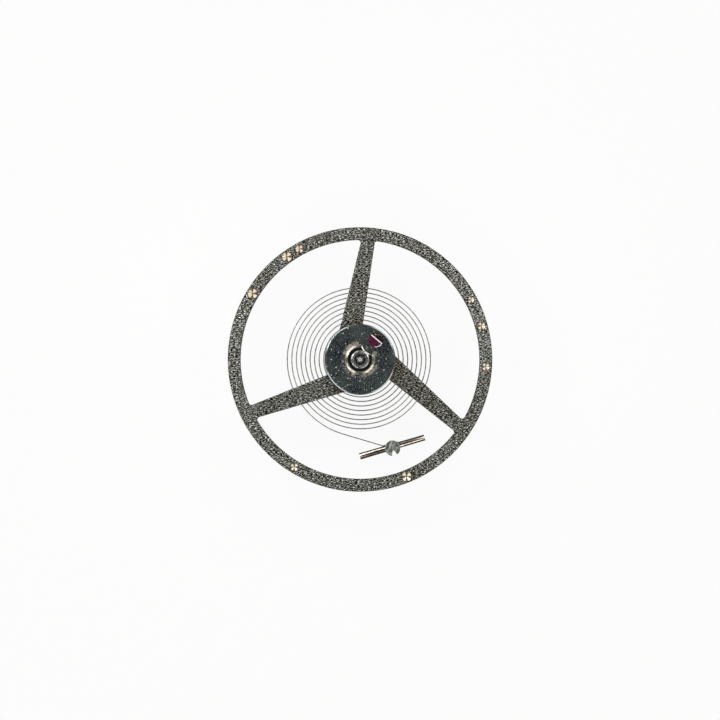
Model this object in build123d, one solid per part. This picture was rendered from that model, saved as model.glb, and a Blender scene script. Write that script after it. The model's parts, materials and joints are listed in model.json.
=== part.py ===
from build123d import *
import math
import os

# Watch balance, complete: a smooth three-armed wheel riveted to its staff, two rollers with the
# impulse jewel on one side, and the collet, hairspring and stud on the other side.
# Millimetres. The staff lies on the Z axis, +Z points to the roller side, and the origin is
# halfway between the two pivot tips, in the middle plane of the rim.

# Wheel
rim_radius = 5.0
rim_width = 0.48
rim_height = 0.5
rim_bevel = 0.03
arm_count = 3
arm_direction = -40.97
arm_offset = 0.551
arm_root_width = 0.94
arm_tip_width = 0.515
arm_thickness = 0.2
arm_recess = 0.05
arm_fillet = 0.11
hub_margin = 0.08
hub_fillet = 0.2

# Drilled poising marks on the roller side of the rim: each one's angle, and its radius as a share
# of the rim's width. The depth is a share of the mark's radius.
small_mark_share = 0.21
medium_mark_share = 0.28
large_mark_share = 0.385
mark_depth_share = 0.5
mark_shares = [
    (118.8, medium_mark_share),
    (125.5, large_mark_share),
    (148.5, large_mark_share),
    (28.2, small_mark_share),
    (15.4, medium_mark_share),
    (-3.3, medium_mark_share),
    (-121.4, medium_mark_share),
    (-68.3, large_mark_share),
]

# Staff
staff_length = 3.3
pivot_radius = 0.06
pivot_length = 0.28
pivot_rounding = 0.02
flange_to_cement = 0.032
flange_height = 0.14
flange_step = 0.05
rivet_spread = 0.15
rivet_height = 0.07
rivet_bevel = 0.04
roller_post_radius = 0.34
roller_cone_radius = 0.19
collet_seat_radius = 0.355
collet_seat_spare = 0.04
collet_cone_radius = 0.25
post_bevel = 0.03
seat_clearance = 0.002

# Rollers
table_margin = 0.121
table_thickness = 0.16
table_bevel = 0.045
safety_radius = 0.567
safety_thickness = 0.22
safety_bevel = 0.085
safety_neck_wall = 0.06
safety_neck_length = 0.2
crescent_circle = 0.825
crescent_wall = 0.027

# Impulse jewel, a D-shaped pin with its flat outwards, and the shellac that holds it
jewel_angle = 50.5
jewel_circle = 0.944
jewel_radius = 0.267
jewel_flat = 0.063
jewel_reach = 0.38
jewel_bevel = 0.035
jewel_clearance = 0.008
cement_margin = 0.045
cement_thickness = 0.06
cement_sink = 0.02

# Collet
collet_inner_wall = 0.033
collet_outer_wall = 0.064
collet_height = 0.45
collet_gap = 0.04
collet_bevel = 0.04
collet_slit = 0.1
collet_running_clearance = 0.012
collet_pin_radius = 0.07
collet_pin_inset = 0.1

# Hairspring: a flat strip on edge, with its inner end in the collet and its outer end in the stud
strip_thickness = 0.04
strip_height = 0.15
spring_turns = 11
inner_coil_gap = 0.178
inner_bend = 70
inner_tail = 0.12
outer_heading = -16.5
outer_bend_radius = 0.1
outer_mouth = 0.04
outer_tail_inset = 0.04
pinning_clearance = 0.003
gap_samples = 48

# Stud and its pin, left uncut
stud_radius = 0.29
stud_length = 1.05
stud_lip = 0.07
stud_bevel = 0.03
stud_angle = -69.85
stud_to_rim = 0.645
coil_to_stud = 0.826
stud_side_wall = 0.057
notch_wall = 0.017
notch_floor = 0.05
notch_mouth = 0.22
stud_pin_angle = 16.3
stud_pin_length = 2.56
stud_pin_radius = 0.12
stud_pin_taper = 0.005

# One overrun serves all cuts that pass through a face
overrun = 0.1

# Levels along the staff, from the rim's middle plane
arm_top = rim_height / 2 - arm_recess
arm_bottom = arm_top - arm_thickness
flange_top = arm_top + flange_height
table_top = flange_top + table_thickness
safety_base = table_top + safety_neck_length
safety_top = safety_base + safety_thickness
rivet_bottom = arm_bottom - rivet_height
collet_top = rivet_bottom - collet_gap
collet_bottom = collet_top - collet_height
spring_level = collet_top - collet_height / 2
seat_bottom = collet_bottom - collet_seat_spare
tip = staff_length / 2

# Radii that follow
rim_inner_radius = rim_radius - rim_width
hub_radius = arm_offset + arm_root_width / 2 + hub_margin
cement_radius = jewel_radius + cement_margin
flange_radius = jewel_circle - cement_radius - flange_to_cement
wheel_seat_radius = flange_radius - flange_step
rivet_radius = wheel_seat_radius + rivet_spread
table_radius = jewel_circle + jewel_radius + jewel_clearance + table_margin
safety_neck_radius = roller_post_radius + safety_neck_wall
crescent_radius = crescent_circle - roller_post_radius - crescent_wall
collet_bore = collet_seat_radius + collet_running_clearance


def heading(angle):
    """Unit vector in the plane of the wheel, at an angle in degrees from +X."""
    return Vector(math.cos(math.radians(angle)), math.sin(math.radians(angle)))


def at(point, level):
    """A plan point raised to a level along the staff."""
    return Vector(point.X, point.Y, level)


def shared_hole_radius(pin_radius):
    """Smallest round hole that takes a round pin with the strip on edge beside it."""
    across = 2 * pin_radius + strip_thickness
    return (across**2 + (strip_height / 2) ** 2) / (2 * across) + pinning_clearance


def pin_offset(pin_radius):
    """How far the pin's axis lies from the axis of the hole, away from the strip."""
    return pin_radius - shared_hole_radius(pin_radius) + pinning_clearance / 2


def strip_offset(pin_radius):
    """How far the middle of the strip lies from the axis of the hole."""
    return pin_offset(pin_radius) + pin_radius + strip_thickness / 2 + pinning_clearance / 2


# The collet's cross hole: its radius, its direction and the side of it that the strip lies on
collet_hole_radius = shared_hole_radius(collet_pin_radius)
collet_hole_offset = collet_bore + collet_inner_wall + collet_hole_radius
collet_radius = collet_hole_offset + collet_hole_radius + collet_outer_wall
collet_way = heading(270 - inner_bend)
collet_side = heading(180 - inner_bend)
collet_hole_middle = collet_side * collet_hole_offset

# The stud's cross hole, in the same way
stud_hole_radius = shared_hole_radius(stud_pin_radius)
stud_hole_offset = stud_radius - stud_hole_radius - stud_side_wall
stud_circle = rim_inner_radius - stud_to_rim - stud_radius
stud_centre = heading(stud_angle) * stud_circle
stud_way = heading(stud_pin_angle)
stud_side = heading(stud_pin_angle + 90)
stud_hole_middle = stud_centre + stud_side * stud_hole_offset
stud_front = spring_level + stud_hole_radius + stud_lip

# The hairspring's coils, between the collet and the stud
coil_outer_radius = stud_circle - coil_to_stud
coil_inner_radius = collet_radius + inner_coil_gap
coil_pitch = (coil_outer_radius - coil_inner_radius) / spring_turns


def revolved(outline):
    """Solid of revolution about the staff from (radius, level) corners."""
    return revolve(make_face(Polyline([(r, 0, z) for r, z in outline], close=True)), Axis.Z)


def cross_cylinder(middle, way, radius, length, end_radius=None):
    """Round bar through a point of the spring's plane, along a direction in that plane."""
    start = at(middle - way * (length / 2), spring_level)
    plane = Plane(origin=start, z_dir=way)
    bar = Circle(radius)
    if end_radius is None:
        return extrude(plane * bar, amount=length)
    return loft([plane * bar, plane.offset(length) * Circle(end_radius)])


def balance_wheel():
    """Rim, three tapered arms set off the wheel's centre, and the hub, all one piece."""
    arm_reach = rim_inner_radius + rim_width / 2
    lean = (arm_root_width - arm_tip_width) / rim_inner_radius
    end_width = arm_root_width - lean * arm_reach
    arm = make_face(
        Polyline(
            [
                (0, arm_offset - arm_root_width / 2),
                (arm_reach, arm_offset - end_width / 2),
                (arm_reach, arm_offset + end_width / 2),
                (0, arm_offset + arm_root_width / 2),
            ],
            close=True,
        )
    )
    windows = Circle(rim_inner_radius) - Circle(hub_radius)
    for k in range(arm_count):
        windows -= Rot(Z=arm_direction + 360 / arm_count * k) * arm
    halfway = (rim_inner_radius + hub_radius) / 2
    hub_corners = windows.vertices().filter_by(lambda v: math.hypot(v.X, v.Y) < halfway)
    windows = fillet(hub_corners, hub_fillet)
    rim_corners = windows.vertices().filter_by(lambda v: math.hypot(v.X, v.Y) > halfway)
    windows = fillet(rim_corners, arm_fillet)
    web = Circle(rim_radius - rim_width / 2) - windows - Circle(wheel_seat_radius + seat_clearance)
    wheel = extrude(Pos(0, 0, arm_bottom) * web, amount=arm_thickness)
    half = rim_height / 2
    wheel += revolved(
        [
            (rim_inner_radius, -half + rim_bevel),
            (rim_inner_radius + rim_bevel, -half),
            (rim_radius - rim_bevel, -half),
            (rim_radius, -half + rim_bevel),
            (rim_radius, half - rim_bevel),
            (rim_radius - rim_bevel, half),
            (rim_inner_radius + rim_bevel, half),
            (rim_inner_radius, half - rim_bevel),
        ]
    )
    for angle, radius_share in mark_shares:
        mark_radius = radius_share * rim_width
        depth = mark_radius * mark_depth_share
        place = at(heading(angle) * (rim_radius - rim_width / 2), half - depth / 2)
        wheel -= Pos(*place) * Cone(0, mark_radius, depth)
    return wheel


def staff_end(side, shoulder_level, cone_radius):
    """Corners and trumpet of one end of the staff's half outline, from its shoulder to the tip."""
    root = Vector(pivot_radius, 0, side * (tip - pivot_length))
    base = Vector(cone_radius, 0, shoulder_level)
    trumpet = TangentArc(root, base, tangent=(0, 0, -side))
    tip_line = Polyline(
        [
            root,
            (pivot_radius, 0, side * (tip - pivot_rounding)),
            (pivot_radius - pivot_rounding, 0, side * tip),
            (0, 0, side * tip),
        ]
    )
    return [trumpet, tip_line]


def balance_staff():
    """Turned steel axle: pivots, cones, roller post, flange, wheel seat with rivet, collet seat."""
    body = Polyline(
        [
            (roller_cone_radius, 0, safety_top),
            (roller_post_radius - post_bevel, 0, safety_top),
            (roller_post_radius, 0, safety_top - post_bevel),
            (roller_post_radius, 0, flange_top),
            (flange_radius, 0, flange_top),
            (flange_radius, 0, arm_top),
            (wheel_seat_radius, 0, arm_top),
            (wheel_seat_radius, 0, arm_bottom),
            (rivet_radius, 0, arm_bottom),
            (rivet_radius - rivet_bevel, 0, rivet_bottom),
            (collet_seat_radius, 0, rivet_bottom),
            (collet_seat_radius, 0, seat_bottom + post_bevel),
            (collet_seat_radius - post_bevel, 0, seat_bottom),
            (collet_cone_radius, 0, seat_bottom),
        ]
    )
    roller_end = staff_end(1, safety_top, roller_cone_radius)
    collet_end = staff_end(-1, seat_bottom, collet_cone_radius)
    middle_line = Line((0, 0, -tip), (0, 0, tip))
    return revolve(make_face([body, *roller_end, *collet_end, middle_line]), Axis.Z)


def jewel_bore(radius, base, length):
    """Round bar on the impulse jewel's axis."""
    place = at(heading(jewel_angle) * jewel_circle, base + length / 2)
    return Pos(*place) * Cylinder(radius, length)


def beyond_flat(base, length, shift=0):
    """Block on the outer side of the impulse jewel's flat."""
    side = 2 * (jewel_radius + cement_radius)
    distance = jewel_circle + jewel_flat + shift + side / 2
    return Rot(Z=jewel_angle) * Pos(distance, 0, base + length / 2) * Box(side, side, length)


def impulse_roller():
    """Polished steel table with a bevelled edge, its staff bore and the hole for the jewel."""
    table = revolved(
        [
            (roller_post_radius + seat_clearance, flange_top),
            (table_radius, flange_top),
            (table_radius, table_top - table_bevel),
            (table_radius - table_bevel, table_top),
            (roller_post_radius + seat_clearance, table_top),
        ]
    )
    hole_radius = jewel_radius + jewel_clearance
    return table - jewel_bore(hole_radius, flange_top - overrun, table_thickness + 2 * overrun)


def safety_roller():
    """Small roller on a neck, with the passing crescent in front of the jewel."""
    bore = roller_post_radius + seat_clearance
    roller = revolved(
        [
            (bore, table_top),
            (safety_neck_radius, table_top),
            (safety_neck_radius, safety_base),
            (safety_radius - safety_bevel, safety_base),
            (safety_radius, safety_base + safety_bevel),
            (safety_radius, safety_top - safety_bevel),
            (safety_radius - safety_bevel, safety_top),
            (bore, safety_top),
        ]
    )
    middle = at(heading(jewel_angle) * crescent_circle, (table_top + safety_top) / 2)
    return roller - Pos(*middle) * Cylinder(crescent_radius, safety_top - table_top + 2 * overrun)


def impulse_jewel():
    """Ruby pin of D section that stands up from the table, bevelled round its free end."""
    length = table_thickness + jewel_reach
    pin = jewel_bore(jewel_radius, flange_top, length) - beyond_flat(flange_top, length)
    return chamfer(pin.faces().sort_by(Axis.Z)[-1].edges(), jewel_bevel)


def jewel_cement():
    """Shellac that fills the hole beside the jewel's flat and caps the jewel at the back."""
    fill_length = table_thickness - cement_sink
    hole_radius = jewel_radius + jewel_clearance
    segment = jewel_bore(hole_radius, flange_top, fill_length)
    fill = segment & beyond_flat(flange_top, fill_length, pinning_clearance)
    cap = jewel_bore(cement_radius, flange_top - cement_thickness, cement_thickness)
    cap = fillet(cap.faces().sort_by(Axis.Z)[0].edges(), cement_thickness / 2)
    return fill + cap


def collet():
    """Split ring on the staff, with a cross hole for the spring's inner end and its pin."""
    ring = revolved(
        [
            (collet_bore, collet_bottom),
            (collet_radius - collet_bevel, collet_bottom),
            (collet_radius, collet_bottom + collet_bevel),
            (collet_radius, collet_top - collet_bevel),
            (collet_radius - collet_bevel, collet_top),
            (collet_bore, collet_top),
        ]
    )
    ring -= cross_cylinder(collet_hole_middle, collet_way, collet_hole_radius, 2 * collet_radius)
    slit = Pos(collet_radius, 0, spring_level) * Box(
        2 * (collet_radius - collet_bore / 2), collet_slit, collet_height + 2 * overrun
    )
    return ring - Rot(Z=-inner_bend) * slit


def collet_pin():
    """Small pin that wedges the spring's inner end in the collet."""
    middle = collet_hole_middle + collet_side * pin_offset(collet_pin_radius)
    half_chord = math.sqrt(collet_radius**2 - middle.length**2)
    length = 2 * (half_chord - collet_pin_inset)
    return cross_cylinder(middle, collet_way, collet_pin_radius, length)


def spring_line():
    """Middle line of the strip, from its end in the collet out to its end in the stud."""
    # Straight end in the collet's hole, then one bend into the first half turn.
    line_distance = collet_hole_offset + strip_offset(collet_pin_radius)
    bend_cosine = math.cos(math.radians(inner_bend))
    inner_radius = (line_distance - coil_inner_radius * bend_cosine) / (1 - bend_cosine)
    bend_tangent = inner_radius * math.tan(math.radians(inner_bend / 2))
    coil_start = Vector(-coil_inner_radius, 0)
    corner = coil_start + Vector(0, bend_tangent)
    bend_start = corner - collet_way * bend_tangent
    inner_end = collet_side * line_distance - collet_way * inner_tail
    pieces = [
        Line(inner_end, bend_start),
        TangentArc(bend_start, coil_start, tangent=collet_way),
    ]
    # Half turns on two centres, a quarter of the pitch to either side of the staff.
    quarter = coil_pitch / 4
    for turn in range(spring_turns):
        radius = coil_inner_radius + turn * coil_pitch
        pieces.append(CenterArc((quarter, 0), radius + quarter, 180, 180))
        pieces.append(CenterArc((-quarter, 0), radius + 3 * quarter, 0, 180))
    # One arc off the last turn, a straight run, a bend at the stud's mouth and a straight end.
    coil_end = Vector(-coil_outer_radius, 0)
    run_way = heading(outer_heading)
    strip_middle = stud_hole_middle + stud_side * strip_offset(stud_pin_radius)
    mouth = strip_middle - stud_way * (stud_radius + outer_mouth)
    back = (mouth.X + coil_outer_radius) / run_way.X
    run_corner = mouth - run_way * back
    arc_end = run_corner + run_way * abs(run_corner.Y)
    turn_angle = math.radians(stud_pin_angle - outer_heading)
    mouth_tangent = outer_bend_radius * math.tan(turn_angle / 2)
    mouth_start = mouth - run_way * mouth_tangent
    mouth_end = mouth + stud_way * mouth_tangent
    pieces += [
        TangentArc(coil_end, arc_end, tangent=(0, -1)),
        Line(arc_end, mouth_start),
        TangentArc(mouth_start, mouth_end, tangent=run_way),
        Line(mouth_end, strip_middle + stud_way * (stud_radius - outer_tail_inset)),
    ]
    return pieces


def least_gap(pieces):
    """Least distance between turns of the strip, on points along its middle line."""
    points = [piece @ (k / gap_samples) for piece in pieces for k in range(gap_samples)]
    beside = gap_samples + gap_samples // 2
    nearest = min(
        math.hypot(point.X - other.X, point.Y - other.Y)
        for k, point in enumerate(points)
        for other in points[k + beside :]
    )
    return nearest - strip_thickness


def hairspring():
    """Flat spiral of one unbroken strip on edge."""
    pieces = spring_line()
    line = Pos(0, 0, spring_level) * Wire([piece.edge() for piece in pieces])
    start = Plane(origin=line @ 0, x_dir=(0, 0, 1), z_dir=line % 0)
    spring = sweep(start * Rectangle(strip_height, strip_thickness), path=line)
    section_volume = strip_height * strip_thickness * line.length
    print("hairspring length", round(line.length, 3), "pitch", round(coil_pitch, 4))
    print("hairspring volume", round(spring.volume, 5), "section x length", round(section_volume, 5))
    print("hairspring least gap to itself", round(least_gap(pieces), 4))
    return spring


def stud():
    """Round stud with a cross hole for the spring and its pin, and a notch down its outer side."""
    post = Pos(stud_centre.X, stud_centre.Y, stud_front - stud_length / 2) * Cylinder(
        stud_radius, stud_length
    )
    post = chamfer(post.edges().filter_by(GeomType.CIRCLE), stud_bevel)
    post -= cross_cylinder(stud_hole_middle, stud_way, stud_hole_radius, 4 * stud_radius)
    floor = stud_hole_offset - stud_hole_radius - notch_wall
    mouth = -stud_radius - overrun
    flare = (notch_mouth - notch_floor) / 2 / (stud_radius + floor)
    mouth_half = notch_mouth / 2 + flare * overrun
    notch = make_face(
        Polyline(
            [
                (-notch_floor / 2, floor),
                (notch_floor / 2, floor),
                (mouth_half, mouth),
                (-mouth_half, mouth),
            ],
            close=True,
        )
    )
    base = stud_front - stud_length - overrun
    notch_block = extrude(Rot(Z=stud_pin_angle) * notch, amount=stud_length + 2 * overrun)
    return post - Pos(stud_centre.X, stud_centre.Y, base) * notch_block


def stud_pin():
    """Long brass taper pin through the stud, not yet cut to length."""
    middle = stud_hole_middle + stud_side * pin_offset(stud_pin_radius)
    return cross_cylinder(
        middle,
        stud_way,
        stud_pin_radius + stud_pin_taper,
        stud_pin_length,
        stud_pin_radius - stud_pin_taper,
    )


pieces_to_write = [
    balance_wheel,
    balance_staff,
    impulse_roller,
    safety_roller,
    impulse_jewel,
    jewel_cement,
    collet,
    collet_pin,
    hairspring,
    stud,
    stud_pin,
]

os.makedirs("parts", exist_ok=True)
for make_piece in pieces_to_write:
    export_step(make_piece(), f"parts/{make_piece.__name__}.step")
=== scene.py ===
# %% [markdown]
# # The balance of a wrist watch
#
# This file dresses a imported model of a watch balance: a three-armed wheel on its staff, two
# rollers with the impulse jewel, and the collet, hairspring and stud behind them. The packed
# model is the fixed frame. It says where each piece is, how large it is and how it moves, and
# every shape that follows is a finer copy of one of its solids, with a finish of its own.
#
# The whole object is 10 mm wide. Blender works in metres, so the meshes are shaped in
# millimetres, where the numbers are easy to read, and made small in one place at the end.

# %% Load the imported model
import json
import math
from functools import partial

import bmesh
import bpy
from mathutils import Matrix, Vector

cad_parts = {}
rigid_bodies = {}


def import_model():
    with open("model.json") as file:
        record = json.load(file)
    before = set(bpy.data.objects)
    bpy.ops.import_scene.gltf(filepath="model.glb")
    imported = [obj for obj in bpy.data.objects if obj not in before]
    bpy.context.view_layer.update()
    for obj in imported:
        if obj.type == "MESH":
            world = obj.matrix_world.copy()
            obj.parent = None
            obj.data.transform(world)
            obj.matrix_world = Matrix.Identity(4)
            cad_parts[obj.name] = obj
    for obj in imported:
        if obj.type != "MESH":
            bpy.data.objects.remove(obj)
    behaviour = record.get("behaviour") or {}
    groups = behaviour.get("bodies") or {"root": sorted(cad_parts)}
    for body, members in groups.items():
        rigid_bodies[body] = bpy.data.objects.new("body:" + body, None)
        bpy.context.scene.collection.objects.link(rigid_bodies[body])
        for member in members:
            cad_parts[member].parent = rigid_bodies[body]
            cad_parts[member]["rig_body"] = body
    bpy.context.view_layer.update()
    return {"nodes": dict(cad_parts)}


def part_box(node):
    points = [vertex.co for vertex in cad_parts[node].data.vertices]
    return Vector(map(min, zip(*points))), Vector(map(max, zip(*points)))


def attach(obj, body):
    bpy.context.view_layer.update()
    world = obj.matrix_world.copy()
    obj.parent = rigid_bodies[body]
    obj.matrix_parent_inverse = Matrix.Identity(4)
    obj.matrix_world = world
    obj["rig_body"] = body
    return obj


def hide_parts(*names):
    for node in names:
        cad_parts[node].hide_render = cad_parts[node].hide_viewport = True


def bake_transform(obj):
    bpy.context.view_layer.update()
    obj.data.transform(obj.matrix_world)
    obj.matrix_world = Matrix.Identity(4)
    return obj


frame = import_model()
MM = 0.001
UP, ACROSS = (0, 0, 1), (0, 1, 0)

# %% [markdown]
# ## Heights and widths from the frame
#
# A watchmaker measures a balance from its staff. The staff lies on the Z axis here, with +Z
# towards the rollers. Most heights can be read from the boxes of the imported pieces, so that the
# visible pieces can't drift away from the solids that they stand for.

# %% Read the boxes
def box_mm(node):
    """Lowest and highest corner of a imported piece, in millimetres."""
    low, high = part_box(node)
    return low / MM, high / MM


rim_low, rim_high = box_mm("balance_wheel")
staff_low, staff_high = box_mm("balance_staff")
table_low, table_high = box_mm("impulse_roller")
small_low, small_high = box_mm("safety_roller")
jewel_low, jewel_high = box_mm("impulse_jewel")
cement_low, cement_high = box_mm("jewel_cement")
collet_low, collet_high = box_mm("collet")
spring_low, spring_high = box_mm("hairspring")
stud_low, stud_high = box_mm("stud")

rim_radius = rim_high.x
table_radius = table_high.x
small_radius = small_high.x
spring_level = (spring_low.z + spring_high.z) / 2
print("rim radius", round(rim_radius, 3), "spring level", round(spring_level, 3))


# %% [markdown]
# ## A few drawing tools
#
# Most pieces of a balance come off a lathe. A lathe needs half an outline, and the outline is
# drawn here as a pen would draw it: from the pen's tip, an edge leads to the next point, and an
# arc is the tip itself, spun about a centre. The same spin then turns the outline into the solid.

# %% Pen and lathe
TOUCHING = 1e-5
ROUNDING = 0.006


def line_to(bm, tip, point):
    """Draws a straight edge from the pen's tip to a point and returns the new tip."""
    end = bm.verts.new(point)
    bm.edges.new((tip, end))
    return end


def arc_about(bm, tip, centre, axis, angle, steps):
    """Spins the pen's tip about a centre, which leaves an arc, and returns the new tip."""
    spun = bmesh.ops.spin(bm, geom=[tip], cent=centre, axis=axis, angle=angle, steps=steps)
    return spun["geom_last"][0]


def bevel(bm, parts, width, segments, affect="EDGES"):
    """Bevels edges or corners, as stoning takes the sharpness off them."""
    bmesh.ops.bevel(bm, geom=parts, offset=width, offset_type="OFFSET", segments=segments,
                    profile=0.5, affect=affect, material=-1)


def turn_on_lathe(bm, steps):
    """Spins a drawn half outline once round the staff and closes the seam and the poles."""
    bmesh.ops.spin(bm, geom=bm.verts[:] + bm.edges[:], cent=(0, 0, 0), axis=UP,
                   angle=math.tau, steps=steps, use_merge=True)
    bmesh.ops.remove_doubles(bm, verts=bm.verts, dist=TOUCHING)
    bmesh.ops.dissolve_degenerate(bm, edges=bm.edges, dist=TOUCHING / 10)
    bmesh.ops.recalc_face_normals(bm, faces=bm.faces)
    return bm


def closed_outline(bm, points):
    """Draws a closed outline and returns its corners."""
    corners = [bm.verts.new(point) for point in points]
    for one, other in zip(corners, corners[1:] + corners[:1]):
        bm.edges.new((one, other))
    return corners


def turned(points, steps):
    """A turned ring from the (radius, level) corners of its outline."""
    bm = bmesh.new()
    corners = closed_outline(bm, [(radius, 0, level) for radius, level in points])
    bevel(bm, corners, ROUNDING, 3, "VERTICES")
    return turn_on_lathe(bm, steps)


def only(kind, parts):
    """The parts of one kind, such as edges, among those that an operator returned."""
    return [part for part in parts if isinstance(part, kind)]


def make_plate(bm, thickness):
    """Fills a drawn outline and extrudes it upwards."""
    bmesh.ops.contextual_create(bm, geom=bm.edges[:])
    raised = bmesh.ops.extrude_face_region(bm, geom=bm.faces[:])
    top = only(bmesh.types.BMVert, raised["geom"])
    bmesh.ops.translate(bm, vec=(0, 0, thickness), verts=top)
    bmesh.ops.recalc_face_normals(bm, faces=bm.faces)


# %% [markdown]
# ## Cutting and joining
#
# Holes, slits and notches are cut with another shape, as a drill or a saw does it. The mesh
# operators have no such cut, so two short-lived objects and a Boolean modifier with the exact
# solver do it, and the result is read back into a mesh that can be worked on.

# %% Cut and join
DRILL_LENGTH = 2.0
CORNER_FROM = math.radians(60)


def as_object(name, bm):
    """Puts a finished bmesh into an object of the scene."""
    mesh = bpy.data.meshes.new(name)
    bm.to_mesh(mesh)
    bm.free()
    made = bpy.data.objects.new(name, mesh)
    bpy.context.scene.collection.objects.link(made)
    return made


def combine(bm, tool, operation):
    """Cuts a tool's shape out of a piece (DIFFERENCE) or joins the two (UNION)."""
    blank, cutter = as_object("blank", bm), as_object("cutter", tool)
    modifier = blank.modifiers.new("combine", "BOOLEAN")
    modifier.operation = operation
    modifier.solver = "EXACT"
    modifier.object = cutter
    result = bmesh.new()
    result.from_object(blank, bpy.context.evaluated_depsgraph_get())
    for made in (blank, cutter):
        mesh = made.data
        bpy.data.objects.remove(made)
        bpy.data.meshes.remove(mesh)
    bmesh.ops.remove_doubles(result, verts=result.verts, dist=TOUCHING)
    return result


def bar(middle, way, radius, length, end_radius=None, steps=64):
    """A round bar through a point, along a direction. With an end radius it tapers."""
    bm = bmesh.new()
    bmesh.ops.create_cone(bm, cap_ends=True, segments=steps, radius1=radius,
                          radius2=radius if end_radius is None else end_radius, depth=length)
    turn = Vector(UP).rotation_difference(Vector(way)).to_matrix().to_4x4()
    bmesh.ops.transform(bm, matrix=Matrix.Translation(middle) @ turn, verts=bm.verts)
    return bm


def corner_edges(bm):
    """Edges where two faces meet in a sharp corner."""
    return [edge for edge in bm.edges if edge.calc_face_angle(0.0) > CORNER_FROM]


def set_down(bm, middle, angle):
    """Turns a mesh about the staff's direction, in degrees, and moves it to its place."""
    turn = Matrix.Rotation(math.radians(angle), 4, "Z")
    bmesh.ops.transform(bm, matrix=Matrix.Translation(middle) @ turn, verts=bm.verts)
    return bm


def heading(angle, level=0.0):
    """Direction at an angle in degrees from +X. Its share in the plane of the wheel is 1 long."""
    return Vector((math.cos(math.radians(angle)), math.sin(math.radians(angle)), level))


# %% [markdown]
# ## Handing a piece over
#
# A finished piece is made small, gets its smooth and its flat faces, and joins the frame: it rides
# on the body that carries it, stands for its solid, and takes the finish that it is given. Only the
# hairspring rides on no body of its own. Turned walls are smooth, but a face that was cut flat must
# stay flat, or the light on it would bend towards the edges.

# %% Finish a piece
FLAT_FROM = 0.9998
SHARP_FROM = math.radians(32)


def settle(name, bm, material, node):
    """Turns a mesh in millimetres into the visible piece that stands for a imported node."""
    body = frame["nodes"][node]["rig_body"]
    bm.normal_update()
    deep = bm.verts.layers.float.get("mark_depth")
    for face in bm.faces:
        drilled = deep is not None and any(v[deep] > 0 for v in face.verts)
        face.smooth = abs(face.normal.z) < FLAT_FROM and not drilled
    for edge in bm.edges:
        edge.smooth = edge.calc_face_angle(0.0) < SHARP_FROM
    bmesh.ops.scale(bm, vec=(MM, MM, MM), verts=bm.verts)
    piece = as_object(name, bm)
    piece.data.materials.append(material)
    if node != "hairspring":
        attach(piece, body)
    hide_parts(node)
    print(name, "on", body, "with", len(piece.data.polygons), "faces")
    return piece


# %% [markdown]
# ## How the finishes are written
#
# Each finish is a small network of nodes. One helper adds a node with its settings and links.
# Patterns are laid out in millimetres, on the piece's own coordinates, so that a grain a tenth of
# a millimetre long is written as 0.1. Colours are the sRGB codes of a paint chart.
#
# A colour is built up as a finisher does it, coat over coat. A Map Range node turns a pattern, a
# distance or a slope into the share of a coat: its first two numbers are the values of the
# pattern at which the coat starts and is full, and two more, if given, are the shares there.

# %% Material helpers
def linear(code):
    """Linear colour from an sRGB hex code, as the shaders need it."""
    shares = [int(code[k : k + 2], 16) / 255 for k in (1, 3, 5)]
    return [c / 12.92 if c <= 0.04045 else ((c + 0.055) / 1.055) ** 2.4 for c in shares] + [1.0]


def feed(node, *values, **named):
    """Gives a node's inputs their values, in their order or by name.

    A colour code is made linear. Another node, or one of its outputs, is linked.
    """
    inputs = [socket for socket in node.inputs if socket.enabled][: len(values)]
    inputs += [node.inputs[name.replace("_", " ")] for name in named]
    for socket, value in zip(inputs, [*values, *named.values()]):
        if isinstance(value, bpy.types.Node):
            value = next(output for output in value.outputs if output.enabled)
        if isinstance(value, bpy.types.NodeSocket):
            node.id_data.links.new(value, socket)
        else:
            socket.default_value = linear(value) if isinstance(value, str) else value


def add_node(tree, kind, *values, **named):
    """Adds a node. A name with a small first letter is a setting, any other is an input."""
    made = tree.nodes.new("ShaderNode" + kind)
    for name in [name for name in named if name[0].islower()]:
        setattr(made, name, named.pop(name))
    feed(made, *values, **named)
    return made


def start_finish(name, **sockets):
    """A new material, the helper that adds its nodes, and its Principled shader."""
    material = bpy.data.materials.new(name)
    material.use_nodes = True
    shader = material.node_tree.nodes["Principled BSDF"]
    feed(shader, **sockets)
    return material, partial(add_node, material.node_tree), shader


def millimetre_grid(add):
    """The piece's own coordinates, in millimetres."""
    return add("VectorMath", add("TexCoord").outputs["Object"], 1 / MM, operation="SCALE")


def coats(add, colour, *layers):
    """Lays coats over a colour. Each has its share, its colour and, if not plain, its way."""
    for share, coat, *way in layers:
        colour = add("Mix", share, colour, coat, data_type="RGBA",
                     blend_type=way[0] if way else "MIX")
    return colour


def level_share(add):
    """How level a face lies: 1 on a top, 0 on an upright wall, however far the balance swings."""
    parts = add("SeparateXYZ", add("NewGeometry").outputs["Normal"])
    return add("Math", parts.outputs["Z"], operation="ABSOLUTE")


def distance_to(add, grid, point):
    """Distance in plan from a point, in millimetres."""
    flat = add("VectorMath", grid, (1.0, 1.0, 0.0), operation="MULTIPLY")
    return add("VectorMath", flat, point, operation="DISTANCE")


def towards_corner(add, place):
    """How far a place or a direction lies towards a corner: X times Y, without its sign."""
    parts = add("SeparateXYZ", place)
    product = add("Math", parts.outputs["X"], parts.outputs["Y"], operation="MULTIPLY")
    return add("Math", product, operation="ABSOLUTE")


def from_staff(add, grid):
    """Distance from the staff and height, in millimetres."""
    return distance_to(add, grid, (0, 0, 0)), add("SeparateXYZ", grid).outputs["Z"]
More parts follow.
